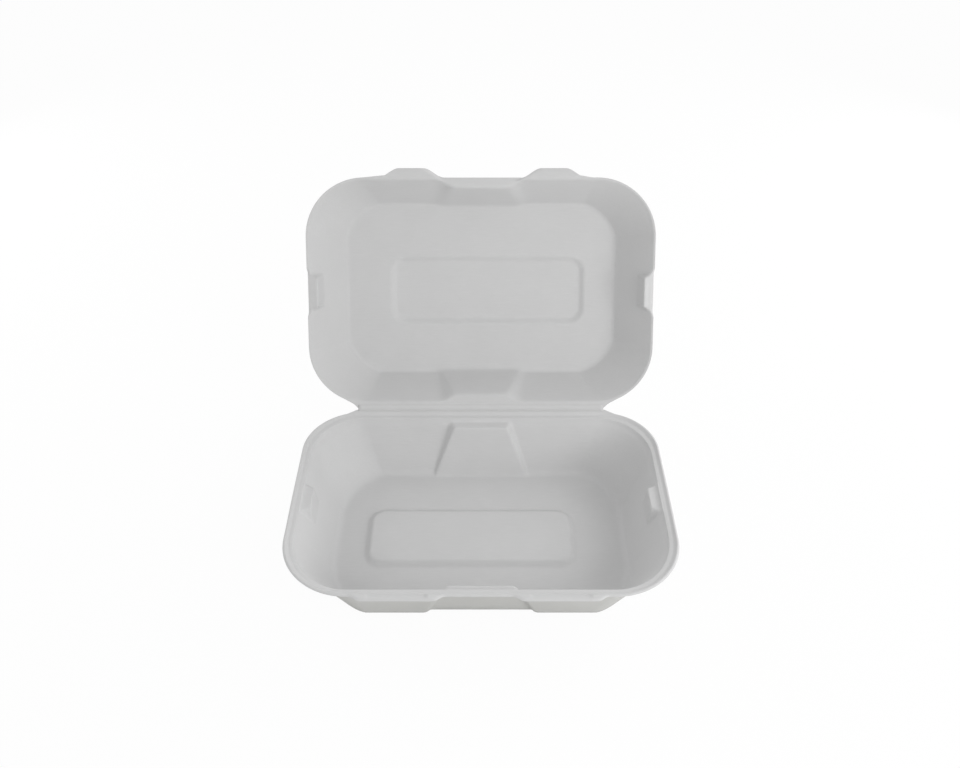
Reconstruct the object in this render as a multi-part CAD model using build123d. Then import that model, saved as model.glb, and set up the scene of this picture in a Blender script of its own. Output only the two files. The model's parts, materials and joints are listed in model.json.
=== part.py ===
from build123d import *
from math import hypot, sqrt
import os

# Rim outline that the two halves share
rim_length = 230.0
rim_width = 152.0
rim_corner = 39.0

# Base tray
base_wall = 1.0
base_height = 40.5
base_flange = 3.4
base_band_height = 3.0
base_band_inset = 0.8
base_floor_length = 180.0
base_floor_width = 112.5
base_floor_corner = 22.0
base_floor_bow_share = 0.52
base_floor_round = 1.8

# Lid tray, thinner than the base so that the open container stands
lid_wall = 0.6
lid_depth = 28.0
lid_flange = 1.0
lid_band_height = 1.6
lid_band_inset = 0.4
lid_floor_length = 183.0
lid_floor_width = 117.0
lid_floor_corner = 22.0
lid_floor_bow_share = 0.6
lid_floor_round = 2.2
lid_floor_shift = 1.4

# Dents in the middle of the long walls, one front and one back
base_front_dent_drop = 5.5
base_front_dent_ledge = 11.2
base_front_dent_length = 38.0
base_back_dent_drop = 4.0
base_back_dent_ledge = 12.5
base_back_dent_length = 35.4
base_dent_foot_length = 63.0
base_dent_foot_depth = 2.0
base_dent_flare_share = 0.6
lid_dent_ledge = 6.6
lid_dent_length = 36.0
lid_dent_foot_length = 56.0
lid_dent_foot_depth = 1.6
lid_dent_fall = 1.8
lid_dent_flare_share = 1.3
dent_round = 1.8

# Nesting lugs in the short walls of the base, thumb notches in those of the lid
lug_drop = 3.6
lug_ledge = 12.0
lug_length = 17.0
lug_foot_length = 25.0
lug_lean = 3.0
lug_flare_share = 0.5
notch_ledge = 6.4
notch_length = 20.0
notch_foot_length = 23.0
notch_lean = 13.0
notch_fall = 2.0
notch_flare_share = 0.5

# Floor panels, raised into the base and sunk into the lid
base_panel_length = 132.0
base_panel_width = 47.5
base_panel_rise = 2.7
base_panel_shift = -6.4
lid_panel_length = 133.8
lid_panel_width = 47.8
lid_panel_rise = 2.4
lid_panel_shift_x = 4.8
lid_panel_shift_y = 2.6
panel_corner = 11.0
panel_slope_inset = 3.6

# Front ears of the base with their pockets, and lift tabs of the lid
ear_length = 40.0
ear_root_length = 54.0
ear_reach = 3.2
ear_tip_round = 3.0
ear_root_round = 5.0
ear_place = 45.2
ear_shift = -1.2
pocket_length = 32.0
pocket_width = 2.7
pocket_depth = 1.3
tab_length = 18.0
tab_root_length = 43.0
tab_reach = 5.6
tab_tip_round = 12.0
tab_root_round = 16.0
tab_place = 46.4
tab_shift = 1.0

# Fold between the halves
fold_end_inset = 31.0
base_fold_root_inset = 15.0
lid_fold_root_inset = 25.0
fold_reach = 3.0
fold_corner = 1.2
bead_radius = 0.55
bead_clearance = 0.08
closed_gap = 0.2
open_angle = 115.0

# How far cuts run past what they cut
overrun = 4.0

fold_length = rim_length - 2 * fold_end_inset


def level(length, width, corner, z, shift=0.0, bow_share=1.0):
    """Rectangle with bowed corners on a level plane, moved towards the fold by the shift.

    A bow share of one makes each corner a quarter circle, and zero cuts it off straight.
    """
    x, y = length / 2, width / 2
    core_x, core_y = x - corner, y - corner
    bow = corner * (1 / 2 + bow_share * (sqrt(1 / 2) - 1 / 2))
    corners = [
        ((core_x, -y), (core_x + bow, -core_y - bow), (x, -core_y)),
        ((x, core_y), (core_x + bow, core_y + bow), (core_x, y)),
        ((-core_x, y), (-core_x - bow, core_y + bow), (-x, core_y)),
        ((-x, -core_y), (-core_x - bow, -core_y - bow), (-core_x, -y)),
    ]
    outline = []
    for before, after in zip(corners[-1:] + corners[:-1], corners):
        outline += [Line(before[2], after[0]), ThreePointArc(*after)]
    return Pos(0, shift, z) * make_face(outline)


def filling(mouth, band, floor, floor_round):
    """Solid that fills a tray from its mouth past a steep band down to a rounded floor."""
    body = loft([level(*mouth), level(*band), level(*floor)], ruled=True)
    return fillet(body.edges().group_by(Axis.Z)[0], floor_round)


def tray_fillings(wall, depth, flange, band_height, band_inset, floor_size, floor_round, floor_shift):
    """Inside and outside of a tray whose rim lies at height zero and whose floor points down."""
    floor_length, floor_width, floor_corner, bow_share = floor_size
    mouth = [size - 2 * flange for size in (rim_length, rim_width)]
    band = [size - 2 * band_inset for size in mouth]
    rise = depth - wall - band_height
    runs = [(band[0] - floor_length) / 2, (band[1] - floor_width) / 2]
    sides = [wall * hypot(run, rise) / rise for run in runs]
    feet = [side - wall * run / rise for side, run in zip(sides, runs)]
    outer_mouth = [size + 2 * side for size, side in zip(mouth, sides)]
    outer_band = [size + 2 * side for size, side in zip(band, sides)]
    outer_floor = [size + 2 * foot for size, foot in zip((floor_length, floor_width), feet)]

    inside = filling(
        (*mouth, rim_corner - flange, 0),
        (*band, rim_corner - flange - band_inset, -band_height),
        (floor_length, floor_width, floor_corner, wall - depth, floor_shift, bow_share),
        floor_round,
    )
    outside = filling(
        (*outer_mouth, rim_corner - flange + wall, 0),
        (*outer_band, rim_corner - flange - band_inset + wall, -band_height),
        (*outer_floor, floor_corner + wall, -depth, floor_shift, bow_share),
        floor_round + wall,
    )
    return inside, outside


def dent(ledge, foot, reach, flare_share, rounding):
    """Block on the +Y side that pushes a wall in, from its ledge down its slopes past its foot.

    Ledge and foot each give the face's distance, its length and its height.
    """

    def plan(face, length, z):
        near = length / 2
        far = near + flare_share * (reach - face)
        return [(-near, face, z), (near, face, z), (far, reach, z), (-far, reach, z)]

    past_share = overrun / (ledge[2] - foot[2])
    past = [low + (low - high) * past_share for high, low in zip(ledge, foot)]
    low, high = plan(*past), plan(*ledge)
    walls = [(low[i - 1], low[i], high[i], high[i - 1]) for i in range(len(low))]
    block = Solid(Shell([Face(Wire.make_polygon(corners)) for corners in (low, high, *walls)]))
    front_edges = block.faces().sort_by(Axis.Y)[0].edges().sort_by(Axis.Z)
    return fillet(front_edges[1:], rounding)


def dent_pair(ledge, foot, reach, flare_share, wall):
    """A dent as the inside of a tray sees it, and the smaller one left behind its wall."""
    inner = dent(ledge, foot, reach, flare_share, dent_round)
    behind_ledge = (ledge[0] + wall, ledge[1] - 2 * wall, ledge[2] - wall)
    behind_foot = (foot[0] + wall, foot[1] - 2 * wall, foot[2])
    return inner, dent(behind_ledge, behind_foot, reach, flare_share, dent_round - wall)


def panel(length, width, z, rise, grow, place):
    """Low frustum on a floor, from its large outline at z to its small one past the rise."""
    large = RectangleRounded(length + 2 * grow, width + 2 * grow, panel_corner + grow)
    inset = 2 * (panel_slope_inset - grow)
    small = RectangleRounded(length - inset, width - inset, panel_corner + grow - panel_slope_inset)
    return loft([Pos(*place, z) * large, Pos(*place, z + rise) * small], ruled=True)


def with_tongues(length, root_length, reach, tip_round, root_round, places):
    """Rim outline with a tongue standing out of its front edge at each place."""
    front = -rim_width / 2
    tip, root = length / 2, root_length / 2
    edge = root + root_round / 2
    line = FilletPolyline(
        (-edge, front), (-root, front), (-tip, front - reach),
        (tip, front - reach), (root, front), (edge, front),
        radius=[root_round, tip_round, tip_round, root_round],
    )
    back = Polyline((edge, front), (edge, front + reach), (-edge, front + reach), (-edge, front))
    tongue = make_face(line + back)
    outline = RectangleRounded(rim_length, rim_width, rim_corner)
    for place in places:
        outline += Pos(place, 0, 0) * tongue
    return outline


def fold_strip(wall, reach, root_inset):
    """Half of the flat strip behind the rim, whose ends slope from the fold's axis to the rim's corners."""
    tip, root = fold_length / 2, rim_length / 2 - root_inset
    edge = rim_width / 2 + reach
    foot = rim_width / 2 - rim_corner + sqrt(rim_corner**2 - (rim_corner - root_inset)**2)
    strip = extrude(Polygon((-root, foot), (root, foot), (tip, edge), (-tip, edge), align=None), -wall)
    ends = strip.edges().filter_by(Axis.Z).group_by(Axis.Y)[-1]
    return fillet(ends, fold_corner)


def fold_rod(radius, length):
    """Round bar along the fold's axis."""
    bar = Cylinder(radius, length, rotation=(0, 90, 0))
    return Pos(0, rim_width / 2 + fold_reach, closed_gap / 2) * bar


def base_tray():
    """Base with its rim at height zero."""
    inside, outside = tray_fillings(
        base_wall, base_height, base_flange, base_band_height, base_band_inset,
        (base_floor_length, base_floor_width, base_floor_corner, base_floor_bow_share), base_floor_round, 0,
    )
    half_width, half_length = rim_width / 2, rim_length / 2
    dent_foot = (base_floor_width / 2 - base_dent_foot_depth, base_dent_foot_length, -base_height)
    front_ledge = (half_width - base_front_dent_ledge, base_front_dent_length, -base_front_dent_drop)
    back_ledge = (half_width - base_back_dent_ledge, base_back_dent_length, -base_back_dent_drop)
    for turn, dent_ledge in ((180, front_ledge), (0, back_ledge)):
        inner_dent, outer_dent = dent_pair(
            dent_ledge, dent_foot, half_width, base_dent_flare_share, base_wall,
        )
        inside -= Rot(0, 0, turn) * inner_dent
        outside -= Rot(0, 0, turn) * outer_dent
    inner_lug, outer_lug = dent_pair(
        (half_length - lug_ledge, lug_length, -lug_drop),
        (half_length - lug_ledge - lug_lean, lug_foot_length, -base_height),
        half_length,
        lug_flare_share,
        base_wall,
    )
    for turn in (90, -90):
        inside -= Rot(0, 0, turn) * inner_lug
        outside -= Rot(0, 0, turn) * outer_lug

    place = (base_panel_shift, 0)
    inside -= panel(base_panel_length, base_panel_width, base_wall - base_height, base_panel_rise, 0, place)
    outside -= panel(base_panel_length, base_panel_width, -base_height, base_panel_rise, -base_wall, place)

    ears = [ear_shift - ear_place, ear_shift + ear_place]
    rim = with_tongues(ear_length, ear_root_length, ear_reach, ear_tip_round, ear_root_round, ears)
    flange = extrude(rim, -base_wall)
    pocket_edge = -rim_width / 2 - ear_reach + base_wall
    pads, pockets = [], []
    for ear in ears:
        middle = Pos(ear, pocket_edge + pocket_width / 2, 0)
        pads.append(middle * extrude(
            RectangleRounded(pocket_length + 2 * base_wall, pocket_width + 2 * base_wall, base_wall),
            -pocket_depth - base_wall,
        ))
        pockets.append(middle * extrude(
            RectangleRounded(pocket_length, pocket_width, base_wall / 2), -pocket_depth,
        ))
    strip = fold_strip(base_wall, fold_reach, base_fold_root_inset)
    tray = outside + flange + pads + strip - inside - pockets
    return tray + fold_rod(bead_radius, fold_length - 2 * fold_corner)


def run_out(block, behind, face, edge, fall, wall):
    """Let a dent's ledge fall outwards through the rim: what is cut, what is left behind, and its plate."""
    slope = Plane((0, face, 0), x_dir=(1, 0, 0), z_dir=(0, fall, edge - face))
    under = slope.offset(-wall)
    upper = split(block, bisect_by=slope, keep=Keep.TOP)
    plate = split(split(block, bisect_by=slope, keep=Keep.BOTTOM), bisect_by=under, keep=Keep.TOP)
    return upper, split(behind, bisect_by=under, keep=Keep.BOTTOM), plate


def lid_tray():
    """Lid as a tray with its rim at height zero and its roof pointing down."""
    inside, outside = tray_fillings(
        lid_wall, lid_depth, lid_flange, lid_band_height, lid_band_inset,
        (lid_floor_length, lid_floor_width, lid_floor_corner, lid_floor_bow_share),
        lid_floor_round, lid_floor_shift,
    )
    half_width, half_length = rim_width / 2, rim_length / 2
    dent_face, notch_face = half_width - lid_dent_ledge, half_length - notch_ledge
    ledge = (dent_face, lid_dent_length, 0)
    back_foot, front_foot = (
        (lid_floor_width / 2 + shift - lid_dent_foot_depth, lid_dent_foot_length, -lid_depth)
        for shift in (lid_floor_shift, -lid_floor_shift)
    )
    back_dent, behind_back = dent_pair(ledge, back_foot, half_width, lid_dent_flare_share, lid_wall)
    inside -= back_dent
    outside -= behind_back

    front_reach = half_width + overrun
    front_dent, behind_front = dent_pair(ledge, front_foot, front_reach, lid_dent_flare_share, lid_wall)
    notch, behind_notch = dent_pair(
        (notch_face, notch_length, 0),
        (notch_face - notch_lean, notch_foot_length, -lid_depth),
        half_length + overrun,
        notch_flare_share,
        lid_wall,
    )
    front = (front_dent, *run_out(front_dent, behind_front, dent_face, half_width, lid_dent_fall, lid_wall))
    side = (notch, *run_out(notch, behind_notch, notch_face, half_length, notch_fall, lid_wall))
    cuts, plates = [], []
    for turn, (block, upper, behind, plate) in ((180, front), (90, side), (-90, side)):
        inside -= Rot(0, 0, turn) * block
        outside -= Rot(0, 0, turn) * behind
        cuts.append(Rot(0, 0, turn) * upper)
        plates.append(Rot(0, 0, turn) * plate)

    place = (lid_panel_shift_x, lid_panel_shift_y)
    inside += panel(lid_panel_length, lid_panel_width, lid_wall - lid_depth, -lid_panel_rise, 0, place)
    outside += panel(lid_panel_length, lid_panel_width, -lid_depth, -lid_panel_rise, lid_wall, place)

    tabs = [tab_shift - tab_place, tab_shift + tab_place]
    rim = with_tongues(tab_length, tab_root_length, tab_reach, tab_tip_round, tab_root_round, tabs)
    flange = extrude(rim, -lid_wall)
    within_rim = extrude(RectangleRounded(rim_length, rim_width, rim_corner), -lid_depth)
    strip = fold_strip(lid_wall, fold_reach - bead_radius / 2, lid_fold_root_inset)
    tray = outside + flange + strip - inside - cuts
    tray += [plate & within_rim for plate in plates]
    return tray - fold_rod(bead_radius + bead_clearance, fold_length + overrun)


def closed_lid():
    """Lid turned over onto the base's rim, a small gap above it."""
    return Pos(0, 0, closed_gap) * mirror(lid_tray(), about=Plane.XY)


fold_axis = Axis((0, rim_width / 2 + fold_reach, base_height + closed_gap / 2), (-1, 0, 0))
on_table = Pos(0, 0, base_height)
base = on_table * base_tray()
lid = (on_table * closed_lid()).rotate(fold_axis, open_angle)

os.makedirs("parts", exist_ok=True)
export_step(base, "parts/base_tray.step")
export_step(lid, "parts/lid.step")
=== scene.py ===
import json
import math
import bmesh
import bpy
import numpy as np
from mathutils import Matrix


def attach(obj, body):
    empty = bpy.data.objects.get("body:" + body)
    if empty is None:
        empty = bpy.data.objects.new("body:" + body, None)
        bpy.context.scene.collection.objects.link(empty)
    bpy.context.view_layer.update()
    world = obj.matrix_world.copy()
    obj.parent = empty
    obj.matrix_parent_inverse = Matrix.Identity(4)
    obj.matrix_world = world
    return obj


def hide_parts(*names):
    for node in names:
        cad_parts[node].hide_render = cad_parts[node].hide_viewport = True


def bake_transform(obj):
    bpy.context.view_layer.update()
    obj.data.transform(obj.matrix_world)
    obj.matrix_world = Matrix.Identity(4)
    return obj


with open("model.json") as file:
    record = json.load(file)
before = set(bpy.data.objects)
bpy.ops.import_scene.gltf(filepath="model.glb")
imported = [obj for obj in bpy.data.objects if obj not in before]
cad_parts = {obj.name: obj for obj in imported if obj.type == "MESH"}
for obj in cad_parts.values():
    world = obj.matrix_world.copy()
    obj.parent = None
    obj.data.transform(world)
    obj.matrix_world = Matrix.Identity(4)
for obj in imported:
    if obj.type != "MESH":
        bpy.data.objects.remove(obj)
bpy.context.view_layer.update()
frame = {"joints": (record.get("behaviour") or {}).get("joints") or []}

# Units: shapes are worked out in millimetres and put into meshes in metres
MM = 0.001

# Fold between the halves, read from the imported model
fold = frame["joints"][0]
fold_y = fold["pos_m"][1] / MM
fold_z = fold["pos_m"][2] / MM
open_angle = math.radians(-fold["range_deg"][0])
closed_gap = 0.2
rim_height = fold_z - closed_gap / 2

# Rim outline that the two halves share
rim_half_length = 115.0
rim_half_width = 76.0
rim_corner = 39.0
fold_half_length = 83.5

# How many grid columns run along each stretch of the outline
long_columns = 136
short_columns = 68
corner_columns = 26

# How many grid rows run across each stretch, from the middle of the floor outwards
middle_rows = 4
panel_rows = 24
border_rows = 5
foot_rows = 7
wall_rows = 36
step_rows = 5
band_rows = 2
lip_rows = 5
flange_rows = 13


def smooth_step(t):
    """Eased ramp from 0 to 1 while t goes from 0 to 1."""
    t = np.clip(t, 0.0, 1.0)
    return t * t * (3.0 - 2.0 * t)


def soft_min(a, b, blend):
    """Lower of two heights, rounded where they cross over about the blend."""
    return -blend * np.logaddexp(-a / blend, -b / blend)


def soft_max(a, b, blend):
    """Higher of two heights, rounded where they cross over about the blend."""
    return blend * np.logaddexp(a / blend, b / blend)


def rounded_box_depth(x, y, half_length, half_width, corner):
    """How far a point lies inside a rounded rectangle, negative outside it."""
    qx = np.abs(x) - half_length + corner
    qy = np.abs(y) - half_width + corner
    outside = np.hypot(np.maximum(qx, 0.0), np.maximum(qy, 0.0))
    return corner - outside - np.minimum(np.maximum(qx, qy), 0.0)


def rim_columns():
    """One turn round a rounded rectangle, by column.

    Each column has its core's corner signs, its place on a unit quarter circle,
    and its place on that circle's chord.
    """

    def side(steps, start, end, normal):
        t = np.linspace(0.0, 1.0, steps, endpoint=False)[:, None]
        core = (1.0 - t) * np.array(start) + t * np.array(end)
        return np.hstack([core, np.tile(np.array(normal + normal, float), (steps, 1))])

    def corner(core, first, last):
        t = np.linspace(0.0, 1.0, corner_columns, endpoint=False)[:, None]
        first, last = np.array(first, float), np.array(last, float)
        arc = np.cos(t * math.pi / 2) * first + np.sin(t * math.pi / 2) * last
        chord = (1.0 - t) * first + t * last
        return np.hstack([np.tile(np.array(core, float), (corner_columns, 1)), arc, chord])

    front, right, back, left = (0, -1), (1, 0), (0, 1), (-1, 0)
    return np.vstack([
        side(long_columns, (-1, -1), (1, -1), front), corner((1, -1), front, right),
        side(short_columns, (1, -1), (1, 1), right), corner((1, 1), right, back),
        side(long_columns, (1, 1), (-1, 1), back), corner((-1, 1), back, left),
        side(short_columns, (-1, 1), (-1, -1), left), corner((-1, -1), left, front),
    ])


def line(start, end, rows):
    """Rows on a straight stretch between two sections, without the last one."""
    t = np.linspace(0.0, 1.0, rows, endpoint=False)[:, None]
    return (1.0 - t) * start + t * end


def bend(before, key, after, reach, rows):
    """Rows on a round bend at a key section: a quadratic curve that starts and ends the reach away."""

    def part_way(other):
        run = np.hypot(other[1] - key[1], other[5] - key[5])
        return key + (other - key) * min(reach / run, 0.5)

    first, last = part_way(before), part_way(after)
    t = np.linspace(0.0, 1.0, rows, endpoint=False)[:, None]
    return first, (1 - t) ** 2 * first + 2 * t * (1 - t) * key + t ** 2 * last, last


def tray_sections(tray):
    """Sections from the middle of the floor out to the rim's edge, and each one's share of the flange.

    A section is half length, half width, corner radius, bow of the corners,
    shift towards the fold, and height.
    """

    def rim_inset(inset, z):
        outline = [rim_half_length - inset, rim_half_width - inset, rim_corner - inset]
        return np.array([*outline, 1.0, 0.0, z])

    floor_z = tray["wall"] - tray["depth"]
    length, width, corner, bow = tray["floor"]
    spine = np.array([length - width, 0.0, 0.0, bow, tray["floor_shift"], floor_z])
    floor = np.array([length, width, corner, bow, tray["floor_shift"], floor_z])
    band = rim_inset(tray["flange"] + tray["band_inset"], -tray["band_height"])
    mouth = rim_inset(tray["flange"], 0.0)
    rim = rim_inset(tray["edge_inset"], 0.0)

    foot_start, foot, foot_end = bend(spine, floor, band, tray["floor_round"], foot_rows)
    band_start, step, band_end = bend(floor, band, mouth, tray["band_round"], step_rows)
    mouth_start, lip, mouth_end = bend(band, mouth, rim, tray["lip_round"], lip_rows)
    panel = tray["panel"]
    dense_from = (panel["half_width"] - 2 * panel["slope"]) / width
    dense_to = (panel["half_length"] + panel["slope"] + abs(panel["place"][0]) - length + width) / width
    inner, outer = spine + (floor - spine) * dense_from, spine + (floor - spine) * dense_to
    wall = np.vstack([
        line(spine, inner, middle_rows), line(inner, outer, panel_rows),
        line(outer, foot_start, border_rows), foot,
        line(foot_end, band_start, wall_rows), step,
        line(band_end, mouth_start, band_rows), lip,
    ])
    flange = line(mouth_end, rim, flange_rows)
    share = np.concatenate([np.zeros(len(wall)), np.linspace(0.0, 1.0, flange_rows + 1)])
    return np.vstack([wall, flange, rim[None]]), share


def tongue_reach(x, tongues):
    """How far the front edge stands out: an eased ramp up to the reach and down again at each tongue."""
    out = np.zeros_like(x)
    for place, root, tip, reach in tongues:
        out = np.maximum(out, reach * smooth_step((root - np.abs(x - place)) / (root - tip)))
    return out


def fold_reach(x, y, tray):
    """How far the back edge stands out towards the fold, with ends that slope to the rim's corners."""
    root = tray["fold_root"]
    top = fold_y - tray["fold_inset"]
    past_core = root - rim_half_length + rim_corner
    foot = rim_half_width - rim_corner + math.sqrt(rim_corner ** 2 - past_core ** 2)
    share = np.clip((np.abs(x) - fold_half_length) / (root - fold_half_length), 0.0, 1.0)
    edge = top + (foot - top) * share ** tray["fold_hug"]
    return np.maximum(edge - y, 0.0) * (np.abs(x) < root)


def dent_height(out, along, dent):
    """Top of a block that pushes a wall in: a ledge, cut off by a leaning face and leaning sides."""
    drop = dent["ledge_z"] - dent["foot_z"]
    ledge = dent["ledge_z"] - dent["fall"] * np.maximum(out - dent["face"], 0.0)
    face = dent["ledge_z"] + (out - dent["face"]) * drop / (dent["face"] - dent["foot_face"])
    half = dent["half"] + dent["flare"] * (out - dent["face"])
    spread = dent["foot_half"] - dent["half"] + dent["flare"] * (dent["face"] - dent["foot_face"])
    side = dent["ledge_z"] + (half - np.abs(along)) * drop / spread
    return soft_min(soft_min(face, side, dent["blend"]), ledge, dent["blend"])


def run_out_height(out, along, dent):
    """Cut through the rim where a ledge falls outwards: the ledge's slope, with steep ends."""
    half = dent["half"] + dent["flare"] * np.maximum(out - dent["face"], 0.0)
    past = np.maximum(np.abs(along) - half, 0.0)
    return dent["ledge_z"] - dent["fall"] * (out - dent["face"]) + dent["end_slope"] * past


def panel_height(x, y, panel):
    """Raised or sunken panel on the floor: a sloping border round a flat top."""
    depth = rounded_box_depth(x - panel["place"][0], y - panel["place"][1],
                              panel["half_length"], panel["half_width"], panel["corner"])
    return panel["rise"] * smooth_step(depth / panel["slope"])


def pocket_depth(x, y, pocket):
    """Shallow dish in an ear: a steep back and ends, and a floor that eases up to the front edge."""
    depth = np.zeros_like(x)
    for place in pocket["places"]:
        ends = (pocket["half_length"] - np.abs(x - place)) / pocket["end_slope"]
        back = (pocket["back"] - y) / pocket["back_slope"]
        front = (y - pocket["front"]) / pocket["front_slope"]
        depth = np.maximum(depth, smooth_step(ends) * smooth_step(back) * smooth_step(front))
    return pocket["depth"] * depth


def seat_height(x, y, z, flange, mouth, tray):
    """Seat inside the rim: a narrow ledge below the rim, then an eased ramp up to the rim's edge."""
    ramp = smooth_step((np.hypot(x - x[mouth], y - y[mouth]) - tray["seat_width"]) / tray["ramp_width"])
    upwards = smooth_step(1.0 + z / tray["seat_blend"])
    return -tray["seat_drop"] * np.where(flange > 0, 1.0 - ramp, upwards)


def tray_surface(tray):
    """Inside of a tray, rows from its middle out to the rim's edge, columns round the outline.

    Each row is a rounded rectangle whose corners blend an arc with its chord. The flange's rows are
    drawn out to the tongues and the fold. The height is the wall's and the flange's, softly joined,
    plus the seat and the panel, then the higher of that and each dent, less pockets and rolled edge.
    """
    sections, flange_share = tray_sections(tray)
    half_length, half_width, corner, bow, shift, z = (v[:, None] for v in sections.T)
    core_x, core_y, arc_x, arc_y, chord_x, chord_y = rim_columns().T
    up_wall = np.clip((half_width - tray["floor"][1]) / (rim_half_width - tray["floor"][1]), 0.0, 1.0)
    towards_back, towards_front = np.maximum(core_y, 0.0), np.minimum(core_y, 0.0)
    uneven = tray["back_corner"] * towards_back + tray["front_corner"] * towards_front
    corner = corner - up_wall * uneven
    x = core_x * (half_length - corner) + corner * (bow * arc_x + (1.0 - bow) * chord_x)
    corner = corner * (1.0 + tray["corner_stretch"] * (1.0 - up_wall))
    y = core_y * (half_width - corner) + corner * (bow * arc_y + (1.0 - bow) * chord_y) + shift
    z = np.broadcast_to(z, x.shape).copy()
    flange = flange_share[:, None]

    edge_x, edge_y = x[-1], y[-1]
    y = y - flange * tongue_reach(edge_x, tray["tongues"]) * (arc_y < 0)
    y = y + flange * fold_reach(edge_x, edge_y, tray) * (arc_y > 0)

    mouth = np.argmax(flange_share > 0) - 1
    climb = np.where(flange > 0, tray["lip_climb"] * np.hypot(x - x[mouth], y - y[mouth]), z)
    z = soft_min(climb, 0.0, tray["lip_blend"]) + seat_height(x, y, z, flange, mouth, tray)
    z = z + panel_height(x, y, tray["panel"]) * (flange == 0)
    lip = z[mouth]
    for dent in tray["dents"]:
        for out, along in dent["sides"](x, y):
            pushed_in = np.minimum(soft_max(z, dent_height(out, along, dent), dent["blend"]), lip)
            z = np.where(flange == 0, pushed_in, z)
            if dent["fall"]:
                z = soft_min(z, run_out_height(out, along, dent), dent["end_blend"])
    if "pocket" in tray:
        z = z - pocket_depth(x, y, tray["pocket"])
    short = np.hypot(x - x[-1], y - y[-1]) / tray["edge_width"]
    z = z - tray["edge_fall"] * np.maximum(1.0 - short, 0.0) ** 2 * (flange > 0)
    z = z - tray["curl"] * np.hypot(x - x[mouth], y - y[mouth]) ** 2 * (flange > 0) * (arc_y < 0)
    return np.stack([x, y, z], axis=-1)


def surface_normals(points):
    """Unit normals of a grid closed along its columns: across times around, pointing up from the floor."""
    across = np.gradient(points, axis=0)
    around = np.roll(points, -1, axis=1) - np.roll(points, 1, axis=1)
    normal = np.cross(across, around)
    length = np.linalg.norm(normal, axis=-1, keepdims=True)
    normal = np.where(length > 1e-9, normal / np.maximum(length, 1e-9), np.array([0.0, 0.0, 1.0]))
    normal[0] = (0.0, 0.0, 1.0)
    return normal


def tray_shell(tray):
    """Whole skin of a tray: its inside, a half-round edge, and its outside a wall's thickness below."""
    inside = tray_surface(tray)
    normal = surface_normals(inside)
    outside = inside - tray["wall"] * normal
    middle = (inside[-1] + outside[-1]) / 2
    outwards = np.cross(np.roll(inside[-1], -1, axis=0) - np.roll(inside[-1], 1, axis=0), normal[-1])
    outwards /= np.linalg.norm(outwards, axis=-1, keepdims=True)
    turn = np.radians([45.0, 0.0, -45.0])[:, None, None]
    edge = middle + tray["wall"] / 2 * (np.sin(turn) * normal[-1] + np.cos(turn) * outwards)
    rows = np.unique(np.append(np.arange(len(inside) - 1, -1, -2), 0))[::-1]
    outer = np.repeat([0.0, 0.25, 0.5, 0.75, 1.0], [len(inside), 1, 1, 1, len(rows)])
    return np.concatenate([inside, edge, outside[rows]]), np.repeat(outer, inside.shape[1])


def lid_at_rest(points):
    """Turn a tray over onto the base's rim and swing it open about the fold."""
    y = points[..., 1] - fold_y
    h = closed_gap / 2 - points[..., 2]
    c, s = math.cos(open_angle), math.sin(open_angle)
    return np.stack([points[..., 0], fold_y + y * c + h * s, fold_z - y * s + h * c], axis=-1)


def grid_object(name, grid, outer, flip, material):
    """Mesh object of quads on a grid closed along its columns, with doubles at seams and poles merged.

    Each point keeps its share of the outer side, where the finish paints shade.
    """
    rows, columns = grid.shape[:2]
    index = np.arange(rows * columns).reshape(rows, columns)
    index = np.hstack([index, index[:, :1]])
    quads = np.stack([index[:-1, :-1], index[1:, :-1], index[1:, 1:], index[:-1, 1:]], axis=-1)
    quads = quads.reshape(-1, 4)
    if flip:
        quads = quads[:, ::-1]
    mesh = bpy.data.meshes.new(name)
    mesh.from_pydata((grid.reshape(-1, 3) * MM).tolist(), [], quads.tolist())
    mesh.attributes.new("outer", "FLOAT", "POINT").data.foreach_set("value", outer)
    piece = bpy.data.objects.new(name, mesh)
    bpy.context.scene.collection.objects.link(piece)
    work = bmesh.new()
    work.from_mesh(mesh)
    bmesh.ops.remove_doubles(work, verts=work.verts, dist=1e-6)
    bmesh.ops.dissolve_degenerate(work, edges=work.edges, dist=1e-7)
    bmesh.ops.holes_fill(work, edges=[edge for edge in work.edges if edge.is_boundary])
    work.to_mesh(mesh)
    work.free()
    mesh.polygons.foreach_set("use_smooth", np.ones(len(mesh.polygons), bool))
    mesh.materials.append(material)
    return piece


def short_walls(x, y):
    """Distance out and position along, for the left and the right wall."""
    return (-x, y), (x, y)


def back_wall(x, y):
    """Distance out and position along, for the wall beside the fold."""
    return ((y, x),)


def front_wall(x, y):
    """Distance out and position along, for the wall away from the fold."""
    return ((-y, x),)


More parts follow.
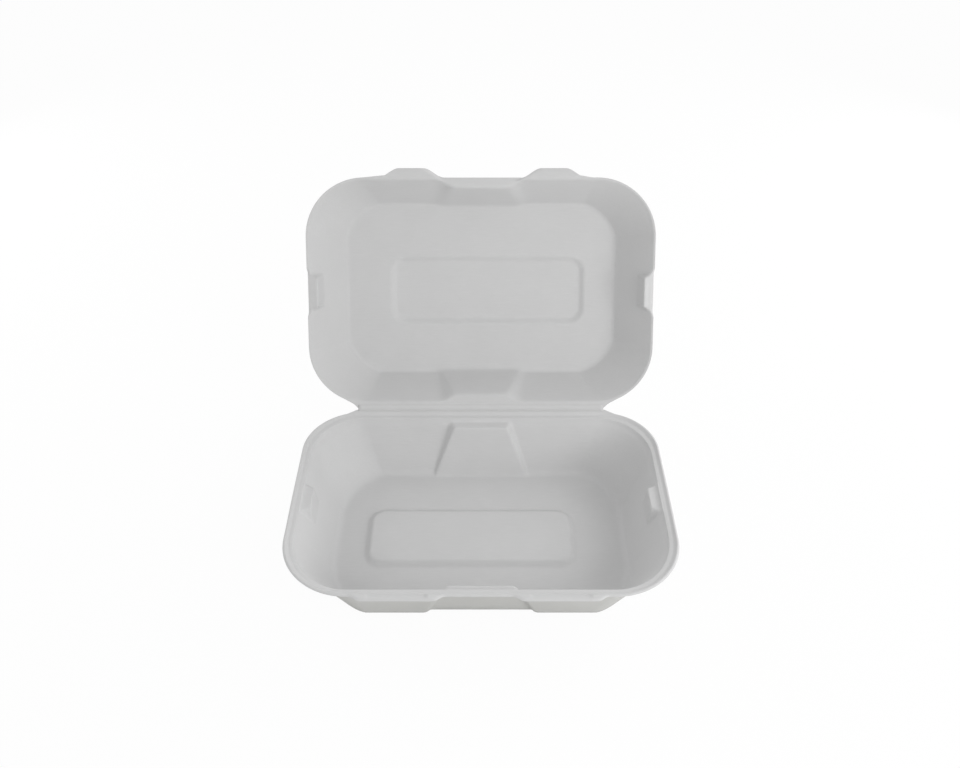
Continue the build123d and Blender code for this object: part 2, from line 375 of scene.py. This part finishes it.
# Sizes of the two trays, in millimetres, with heights measured from the rim.
# A tongue is its place, half its length at the root and at the tip, and its reach.
# A dent is the walls that it pushes in, how far out its face stands at the top and at the foot,
# half its length there, its sides' flare, its ledge's height and fall, and its edges' softness.
ear_places = (-46.4, 44.0)
base = {
    "wall": 1.0,
    "depth": rim_height,
    "flange": 5.2,
    "band_height": 3.0,
    "band_inset": 1.0,
    "band_round": 1.2,
    "lip_round": 0.8,
    "seat_drop": 1.6,
    "seat_width": 1.3,
    "ramp_width": 3.2,
    "seat_blend": 8.0,
    "lip_blend": 0.2,
    "lip_climb": 2.0,
    "edge_inset": 0.1,
    "edge_width": 1.6,
    "edge_fall": 0.8,
    "curl": 0.0,
    "back_corner": 3.5,
    "front_corner": 2.0,
    "floor": (90.6, 57.0, 24.0, 0.7),
    "corner_stretch": 0.4,
    "floor_round": 4.0,
    "floor_shift": 0.0,
    "fold_inset": 0.4,
    "fold_root": 100.0,
    "fold_hug": 1.0,
    "panel": {"half_length": 66.0, "half_width": 23.75, "corner": 11.0, "slope": 4.0, "rise": 2.7,
              "place": (-6.4, 0.0)},
    "tongues": [(place, 27.0, 20.0, 3.2) for place in ear_places],
    "dents": [
        {"sides": front_wall, "face": 64.8, "foot_face": 54.25, "half": 19.0, "foot_half": 31.5,
         "flare": 0.6, "ledge_z": -5.5, "foot_z": -rim_height, "fall": 0.0, "blend": 1.0},
        {"sides": back_wall, "face": 63.5, "foot_face": 54.25, "half": 17.7, "foot_half": 31.5,
         "flare": 0.4, "ledge_z": -4.0, "foot_z": -rim_height, "fall": 0.0, "blend": 0.9},
        {"sides": short_walls, "face": 103.0, "foot_face": 100.0, "half": 8.5, "foot_half": 12.5,
         "flare": 0.5, "ledge_z": -3.6, "foot_z": -rim_height, "fall": 0.0, "blend": 1.3},
    ],
    "pocket": {"places": ear_places, "half_length": 16.8, "back": -74.9, "front": -79.0, "depth": 0.8,
               "back_slope": 0.6, "end_slope": 1.0, "front_slope": 3.2},
}
lid_depth = 28.0
lid = {
    "wall": 0.6,
    "depth": lid_depth,
    "flange": 1.0,
    "band_height": 1.6,
    "band_inset": 1.1,
    "band_round": 0.8,
    "lip_round": 0.8,
    "seat_drop": 0.0,
    "seat_width": 1.0,
    "ramp_width": 1.0,
    "seat_blend": 1.0,
    "corner_stretch": 0.0,
    "lip_blend": 0.7,
    "lip_climb": 1.3,
    "edge_inset": 0.3,
    "edge_width": 1.0,
    "edge_fall": 0.0,
    "curl": 0.035,
    "back_corner": 0.0,
    "front_corner": 0.0,
    "floor": (91.5, 58.5, 22.0, 0.6),
    "floor_round": 2.2,
    "floor_shift": 1.4,
    "fold_inset": 0.4,
    "fold_root": 90.0,
    "fold_hug": 0.6,
    "panel": {"half_length": 66.9, "half_width": 23.9, "corner": 11.0, "slope": 4.4, "rise": -2.4,
              "place": (4.8, 2.6)},
    "tongues": [
        (-45.4, 21.5, 8.0, 6.2), (47.4, 21.5, 8.0, 6.2),
        (-62.0, 17.0, 0.0, 1.45), (64.0, 10.0, 0.0, 1.45),
    ],
    "dents": [
        {"sides": back_wall, "face": 69.4, "foot_face": 58.3, "half": 18.0, "foot_half": 28.0,
         "flare": 1.3, "ledge_z": 0.0, "foot_z": -lid_depth, "fall": 0.0, "blend": 1.7},
        {"sides": front_wall, "face": 69.4, "foot_face": 55.5, "half": 18.0, "foot_half": 28.0,
         "flare": 1.3, "ledge_z": 0.0, "foot_z": -lid_depth, "fall": 0.35, "blend": 1.7,
         "end_slope": 1.0, "end_blend": 0.5},
        {"sides": short_walls, "face": 108.4, "foot_face": 101.5, "half": 10.0, "foot_half": 11.5,
         "flare": 0.5, "ledge_z": 0.0, "foot_z": -lid_depth, "fall": 0.45, "blend": 1.0,
         "end_slope": 1.2, "end_blend": 0.5},
    ],
}


class Wire:
    """A node's output socket; arithmetic on it adds Math nodes."""

    def __init__(self, tree, socket):
        self.tree = tree
        self.socket = socket

    def math(self, operation, first, second):
        node = self.tree.nodes.new("ShaderNodeMath")
        node.operation = operation
        for slot, value in zip(node.inputs, (first, second)):
            if isinstance(value, Wire):
                self.tree.links.new(value.socket, slot)
            else:
                slot.default_value = value
        return Wire(self.tree, node.outputs[0])

    def __add__(self, other):
        return self.math("ADD", self, other)

    def __radd__(self, other):
        return self.math("ADD", other, self)

    def __mul__(self, other):
        return self.math("MULTIPLY", self, other)

    def __rmul__(self, other):
        return self.math("MULTIPLY", other, self)

    def __pow__(self, other):
        return self.math("POWER", self, other)


class Finish:
    """A node tree, built up by one call per node."""

    def __init__(self, owner):
        owner.use_nodes = True
        self.tree = owner.node_tree
        self.tree.nodes.clear()

    def node(self, kind, settings=None, sockets=None, output=0):
        """Add a node: settings first, then values or wires into its sockets; returns one output."""
        node = self.tree.nodes.new("ShaderNode" + kind)
        for key, value in (settings or {}).items():
            if key == "stops":
                for stop, (place, colour) in zip(node.color_ramp.elements, value):
                    stop.position, stop.color = place, colour
            else:
                setattr(node, key, value)
        for key, value in (sockets or {}).items():
            if isinstance(value, Wire):
                self.tree.links.new(value.socket, node.inputs[key])
            else:
                node.inputs[key].default_value = value
        return Wire(self.tree, node.outputs[output]) if node.outputs else None


def pulp():
    """Pressed plant fibre: off-white, matt, with faint clouds of tone, short fibres and a fine tooth; the
    outer side has painted shade, a darker and warmer tint.
    """
    material = bpy.data.materials.new("pulp")
    finish = Finish(material)
    place = finish.node("TexCoord", output=3)

    def noise(scale, detail, roughness, stretch=(1.0, 1.0, 1.0), turn=(0.0, 0.0, 0.0)):
        spot = finish.node("Mapping", sockets={"Vector": place, "Scale": stretch, "Rotation": turn})
        return finish.node("TexNoise", sockets={"Vector": spot, "Scale": scale, "Detail": detail,
                                                "Roughness": roughness})

    clouds = noise(45.0, 2.0, 0.5)
    tooth = noise(1600.0, 3.0, 0.6)
    fibres = 0.0
    for turn in ((0.3, 0.5, 0.2), (1.1, 0.2, 1.4), (0.6, 1.3, 2.5)):
        fibres = noise(620.0, 2.0, 0.5, stretch=(0.22, 1.6, 1.6), turn=turn) ** 3.0 + fibres
    shade = clouds * 0.6 + fibres * 0.5
    darker, lighter = (0.625, 0.625, 0.625, 1.0), (0.655, 0.655, 0.655, 1.0)
    # Painted shade: the outer side is multiplied darker and warmer, standing in for shade and warm bounce
    # light on it, not the fibre's own colour.
    outer_painted_shade = (0.92, 0.92, 0.895, 1.0)
    colour = finish.node("ValToRGB", {"stops": [(0.2, darker), (0.8, lighter)]}, {"Fac": shade})
    outer = finish.node("Attribute", {"attribute_name": "outer"}, output=2)
    colour = finish.node("Mix", {"data_type": "RGBA", "blend_type": "MULTIPLY"},
                         {"Factor": outer, 6: colour, 7: outer_painted_shade}, output=2)
    relief = tooth * 0.5 + fibres
    bump = finish.node("Bump", sockets={"Strength": 0.3, "Distance": 0.0002, "Height": relief})
    roughness = 0.82 + tooth * 0.14
    shader = finish.node("BsdfPrincipled", sockets={"Base Color": colour, "Roughness": roughness,
                                                    "Normal": bump, "Specular IOR Level": 0.2})
    finish.node("OutputMaterial", sockets={"Surface": shader})
    return material


def fold_crease(material):
    """Bent strip over the fold: a quadratic curve from the base's half to the lid's, made thick."""
    reach, turn_reach, end_inset = 2.4, 1.2, 0.8
    wall, cover, feather = 0.9, 0.12, 0.1
    points_across, points_along = 17, 85
    to_lid = np.array([-math.cos(open_angle), math.sin(open_angle)])
    t = np.linspace(0.0, 1.0, points_across)[:, None]
    middle = (1 - t) ** 2 * np.array([-reach, 0.0]) + t ** 2 * reach * to_lid
    tangent = np.gradient(middle, axis=0)
    tangent /= np.linalg.norm(tangent, axis=1, keepdims=True)
    up = np.stack([-tangent[:, 1], tangent[:, 0]], axis=1)
    ease = np.sin(np.pi * t) ** 0.5
    upper, lower = middle + cover * up, middle - (feather + (wall - feather) * ease) * up
    ring = np.vstack([upper, lower[::-1]])
    along = np.linspace(-1.0, 1.0, points_along)[:, None] * (fold_half_length - end_inset)
    grid = np.empty((len(along), len(ring), 3))
    grid[..., 0] = along
    grid[..., 1] = fold_y + ring[:, 0]
    grid[..., 2] = fold_z + ring[:, 1]
    outer = np.tile(np.repeat([0.0, 1.0], len(t)), len(along))
    piece = grid_object("fold_crease", grid, outer, False, material)
    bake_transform(piece)


material = pulp()
base_grid, base_outer = tray_shell(base)
base_grid = base_grid + np.array([0.0, 0.0, rim_height])
base_piece = grid_object("base_shell", base_grid, base_outer, False, material)
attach(base_piece, "base")
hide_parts("base_tray")
lid_grid, lid_outer = tray_shell(lid)
lid_piece = grid_object("lid_shell", lid_at_rest(lid_grid), lid_outer, True, material)
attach(lid_piece, "lid")
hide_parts("lid")
fold_crease(material)


def white_floor():
    """Pale floor under the object, shown as near white to the camera but keeping a faint shadow."""
    paper = bpy.data.materials.new("white_floor")
    finish = Finish(paper)
    white_share = 0.95
    seen = finish.node("LightPath", output=0)
    matt = finish.node("BsdfDiffuse", sockets={"Color": (0.9, 0.9, 0.9, 1.0)})
    white = finish.node("Emission", sockets={"Color": (1.0, 1.0, 1.0, 1.0), "Strength": 1.0})
    mixed = finish.node("MixShader", sockets={0: seen * white_share, 1: matt, 2: white})
    finish.node("OutputMaterial", sockets={"Surface": mixed})
    size, below = 4.0, -0.0003
    corners = [(-size, -size, below), (size, -size, below), (size, size, below), (-size, size, below)]
    mesh = bpy.data.meshes.new("floor")
    mesh.from_pydata(corners, [], [(0, 1, 2, 3)])
    mesh.materials.append(paper)
    floor = bpy.data.objects.new("floor", mesh)
    bpy.context.scene.collection.objects.link(floor)


def soft_lamp(name, place, power):
    """Square soft box at a place, turned towards the object."""
    lamp = bpy.data.lights.new(name, "AREA")
    lamp.shape = "SQUARE"
    lamp.size = 0.5
    lamp.energy = power
    object_middle = np.array([0.0, 0.05, 0.06])
    aim = object_middle - np.array(place)
    tilt = math.acos(-aim[2] / np.linalg.norm(aim))
    turn = math.atan2(aim[1], aim[0]) - math.pi / 2
    box = bpy.data.objects.new(name, lamp)
    box.location = place
    box.rotation_euler = (tilt, 0.0, turn)
    bpy.context.scene.collection.objects.link(box)


def studio_light():
    """Even pale room, white to the camera, with a soft box at the front right and one at each side."""
    world = bpy.data.worlds.new("studio")
    bpy.context.scene.world = world
    room = Finish(world)
    seen = room.node("LightPath", output=0)
    pale = room.node("Background", sockets={"Color": (1.0, 1.0, 1.0, 1.0), "Strength": 0.65})
    white = room.node("Background", sockets={"Color": (1.0, 1.0, 1.0, 1.0), "Strength": 1.0})
    mixed = room.node("MixShader", sockets={0: seen, 1: pale, 2: white})
    room.node("OutputWorld", sockets={"Surface": mixed})

    soft_lamp("key", (0.6, -0.6, 0.4), 3.1)
    soft_lamp("side", (0.6, 0.4, 0.3), 1.9)
    soft_lamp("fill", (-0.6, 0.4, 0.3), 1.2)


def camera():
    """Camera at the photograph's place, with a small downward shift of the frame."""
    picture_width, picture_height = 960.0, 768.0
    focal_pixels = 989.2
    centre_row = 299.1
    side_step, stand_back, above_rim = -0.00053, -0.4295, 0.441
    look_down = math.radians(34.63)
    data = bpy.data.cameras.new("camera")
    data.sensor_fit = "HORIZONTAL"
    data.sensor_width = 36.0
    data.lens = focal_pixels / picture_width * data.sensor_width
    data.shift_y = (centre_row - picture_height / 2) / picture_width
    view = bpy.data.objects.new("camera", data)
    view.location = (side_step, stand_back, above_rim + rim_height * MM)
    view.rotation_euler = (math.pi / 2 - look_down, 0.0, 0.0)
    bpy.context.scene.collection.objects.link(view)
    bpy.context.scene.camera = view


white_floor()
studio_light()
camera()
bpy.context.scene.view_settings.view_transform = "Standard"
